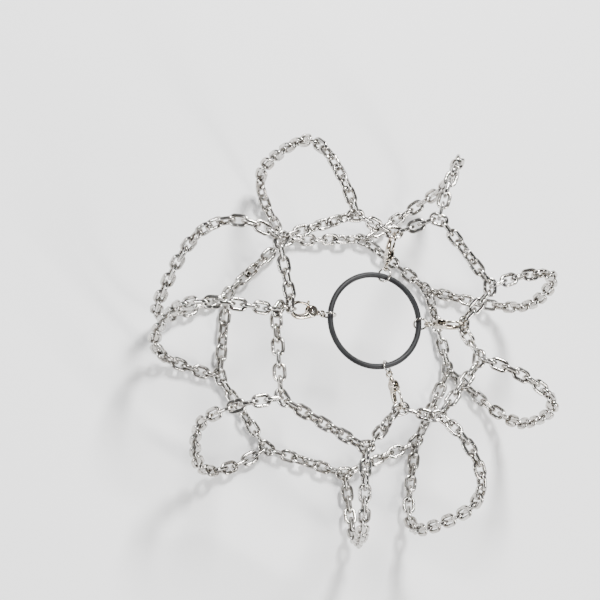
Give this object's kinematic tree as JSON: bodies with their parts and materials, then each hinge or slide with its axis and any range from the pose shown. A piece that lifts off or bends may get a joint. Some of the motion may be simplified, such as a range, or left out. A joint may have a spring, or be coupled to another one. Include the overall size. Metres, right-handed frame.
{
  "type": "tire snow chains",
  "caption": "Snow chain net for a small off-road wheel: outer and inner side chains, cross chains over the tread, and sprung clasps on a rubber tensioner ring.",
  "frame": {"origin": "centre of the tyre that the net sits on: on the axle, half way across the tread", "axes": "+Z along the wheel's axle towards the outer face, where the clasps and the tensioner ring are; +X towards the outer junction with cross chain 5"},
  "size_m": [0.1437, 0.1421, 0.0618],
  "materials": {
    "chain_steel": "bright nickel plate, lightly scratched",
    "clasp_metal": "polished nickel plate",
    "ring_wire": "polished nickel plate",
    "spring_steel": "satin",
    "tensioner_rubber": "matte"
  },
  "bodies": {
    "net": {"outer_side_chain_1": "chain_steel", "outer_side_chain_2": "chain_steel", "outer_side_chain_3": "chain_steel", "outer_side_chain_4": "chain_steel", "outer_side_chain_5": "chain_steel", "outer_side_chain_6": "chain_steel", "outer_side_chain_7": "chain_steel", "outer_side_chain_8": "chain_steel", "outer_side_chain_9": "chain_steel", "outer_side_chain_10": "chain_steel", "outer_side_chain_11": "chain_steel", "outer_side_chain_12": "chain_steel", "outer_side_chain_13": "chain_steel", "inner_side_chain_1": "chain_steel", "inner_side_chain_2": "chain_steel", "inner_side_chain_3": "chain_steel", "inner_side_chain_4": "chain_steel", "inner_side_chain_5": "chain_steel", "inner_side_chain_6": "chain_steel", "inner_side_chain_7": "chain_steel", "inner_side_chain_8": "chain_steel", "inner_side_chain_9": "chain_steel"},
    "cross_1": {"cross_chain_1": "chain_steel"},
    "cross_2": {"cross_chain_2": "chain_steel"},
    "cross_3": {"cross_chain_3": "chain_steel"},
    "cross_4": {"cross_chain_4": "chain_steel"},
    "cross_5": {"cross_chain_5": "chain_steel"},
    "cross_6": {"cross_chain_6": "chain_steel"},
    "cross_7": {"cross_chain_7": "chain_steel"},
    "cross_8": {"cross_chain_8": "chain_steel"},
    "cross_9": {"cross_chain_9": "chain_steel"},
    "clasp_top": {"clasp_body_top": "clasp_metal", "clasp_rivet_top": "clasp_metal", "clasp_spring_top": "spring_steel"},
    "lever_top": {"clasp_lever_top": "clasp_metal"},
    "swivel_top": {"swivel_eye_top": "clasp_metal", "jump_ring_top": "ring_wire"},
    "clasp_left": {"clasp_body_left": "clasp_metal", "clasp_rivet_left": "clasp_metal", "clasp_spring_left": "spring_steel"},
    "lever_left": {"clasp_lever_left": "clasp_metal"},
    "swivel_left": {"swivel_eye_left": "clasp_metal", "jump_ring_left": "ring_wire"},
    "clasp_right": {"clasp_body_right": "clasp_metal", "clasp_rivet_right": "clasp_metal", "clasp_spring_right": "spring_steel"},
    "lever_right": {"clasp_lever_right": "clasp_metal"},
    "swivel_right": {"swivel_eye_right": "clasp_metal", "jump_ring_right": "ring_wire"},
    "clasp_bottom": {"clasp_body_bottom": "clasp_metal", "clasp_rivet_bottom": "clasp_metal", "clasp_spring_bottom": "spring_steel"},
    "lever_bottom": {"clasp_lever_bottom": "clasp_metal"},
    "swivel_bottom": {"swivel_eye_bottom": "clasp_metal", "jump_ring_bottom": "ring_wire"},
    "tensioner": {"tensioner_ring": "tensioner_rubber"}
  },
  "joints": [
    {"name": "cross_1_swing", "type": "hinge", "parent": "net", "child": "cross_1", "pos_m": [-0.03625, 0.00987, 0.02661], "axis": [-0.1311, -0.0948, -0.9868], "range_deg": [-8, 8]},
    {"name": "cross_2_swing", "type": "hinge", "parent": "net", "child": "cross_2", "pos_m": [-0.02162, 0.03536, 0.02812], "axis": [-0.1534, -0.0669, -0.9859], "range_deg": [-8, 8]},
    {"name": "cross_3_swing", "type": "hinge", "parent": "net", "child": "cross_3", "pos_m": [0.00718, 0.03978, 0.02786], "axis": [-0.1782, 0.0683, -0.9816], "range_deg": [-8, 8]},
    {"name": "cross_4_swing", "type": "hinge", "parent": "net", "child": "cross_4", "pos_m": [0.02635, 0.02399, 0.02542], "axis": [-0.0108, 0.2077, -0.9781], "range_deg": [-8, 8]},
    {"name": "cross_5_swing", "type": "hinge", "parent": "net", "child": "cross_5", "pos_m": [0.03583, 0.00027, 0.02558], "axis": [0.1204, 0.1861, -0.9751], "range_deg": [-8, 8]},
    {"name": "cross_6_swing", "type": "hinge", "parent": "net", "child": "cross_6", "pos_m": [0.03287, -0.02863, 0.02847], "axis": [0.112, 0.1623, -0.9804], "range_deg": [-8, 8]},
    {"name": "cross_7_swing", "type": "hinge", "parent": "net", "child": "cross_7", "pos_m": [0.00521, -0.04593, 0.02842], "axis": [0.2151, 0.1008, -0.9714], "range_deg": [-8, 8]},
    {"name": "cross_8_swing", "type": "hinge", "parent": "net", "child": "cross_8", "pos_m": [-0.02106, -0.03064, 0.02673], "axis": [0.1573, -0.2008, -0.9669], "range_deg": [-8, 8]},
    {"name": "cross_9_swing", "type": "hinge", "parent": "net", "child": "cross_9", "pos_m": [-0.04083, -0.01898, 0.0285], "axis": [0.0784, -0.0961, -0.9923], "range_deg": [-8, 8]},
    {"name": "clasp_top_swivel", "type": "hinge", "parent": "net", "child": "clasp_top", "pos_m": [-0.02535, 0.0213, 0.02204], "axis": [0.7244, -0.6827, -0.0958], "range_deg": [-8, 8]},
    {"name": "lever_top_open", "type": "hinge", "parent": "clasp_top", "child": "lever_top", "pos_m": [-0.0191, 0.01543, 0.02142], "axis": [-0.6793, -0.7306, 0.0694], "range_deg": [0, 20], "stiffness_Nm_per_rad": 0.01, "springref_deg": -20.05},
    {"name": "jump_ring_top_swivel", "type": "hinge", "parent": "net", "child": "swivel_top", "pos_m": [-0.01739, 0.01379, 0.02099], "axis": [0.7244, -0.6827, -0.0958], "range_deg": [-8, 8]},
    {"name": "clasp_left_swivel", "type": "hinge", "parent": "net", "child": "clasp_left", "pos_m": [-0.0197, -0.02667, 0.02417], "axis": [0.5416, 0.809, -0.2284], "range_deg": [-8, 8]},
    {"name": "lever_left_open", "type": "hinge", "parent": "clasp_left", "child": "lever_left", "pos_m": [-0.0152, -0.01959, 0.02226], "axis": [0.3243, 0.0495, 0.9447], "range_deg": [0, 20], "stiffness_Nm_per_rad": 0.01, "springref_deg": -20.05},
    {"name": "jump_ring_left_swivel", "type": "hinge", "parent": "net", "child": "swivel_left", "pos_m": [-0.01375, -0.01777, 0.02166], "axis": [0.5416, 0.809, -0.2284], "range_deg": [-8, 8]},
    {"name": "clasp_right_swivel", "type": "hinge", "parent": "net", "child": "clasp_right", "pos_m": [0.01427, 0.02615, 0.02466], "axis": [-0.5076, -0.8218, -0.2588], "range_deg": [-8, 1]},
    {"name": "lever_right_open", "type": "hinge", "parent": "clasp_right", "child": "lever_right", "pos_m": [0.00985, 0.01905, 0.02263], "axis": [-0.8143, 0.5557, -0.1677], "range_deg": [0, 20], "stiffness_Nm_per_rad": 0.01, "springref_deg": -20.05},
    {"name": "jump_ring_right_swivel", "type": "hinge", "parent": "net", "child": "swivel_right", "pos_m": [0.00869, 0.01711, 0.02182], "axis": [-0.5076, -0.8218, -0.2588], "range_deg": [-8, 8]},
    {"name": "clasp_bottom_swivel", "type": "hinge", "parent": "net", "child": "clasp_bottom", "pos_m": [0.02819, -0.00929, 0.02338], "axis": [-0.9453, 0.2728, -0.1788], "range_deg": [-8, 8]},
    {"name": "lever_bottom_open", "type": "hinge", "parent": "clasp_bottom", "child": "lever_bottom", "pos_m": [0.02003, -0.00691, 0.02203], "axis": [0.2985, 0.9445, -0.1369], "range_deg": [0, 20], "stiffness_Nm_per_rad": 0.01, "springref_deg": -20.05},
    {"name": "jump_ring_bottom_swivel", "type": "hinge", "parent": "net", "child": "swivel_bottom", "pos_m": [0.01779, -0.00629, 0.02141], "axis": [-0.9453, 0.2728, -0.1788], "range_deg": [-8, 8]},
    {"name": "tensioner_turn", "type": "hinge", "parent": "net", "child": "tensioner", "pos_m": [-0.0022, -0.00052, 0.0205], "axis": [0, 0, 1], "continuous": true}
  ]
}
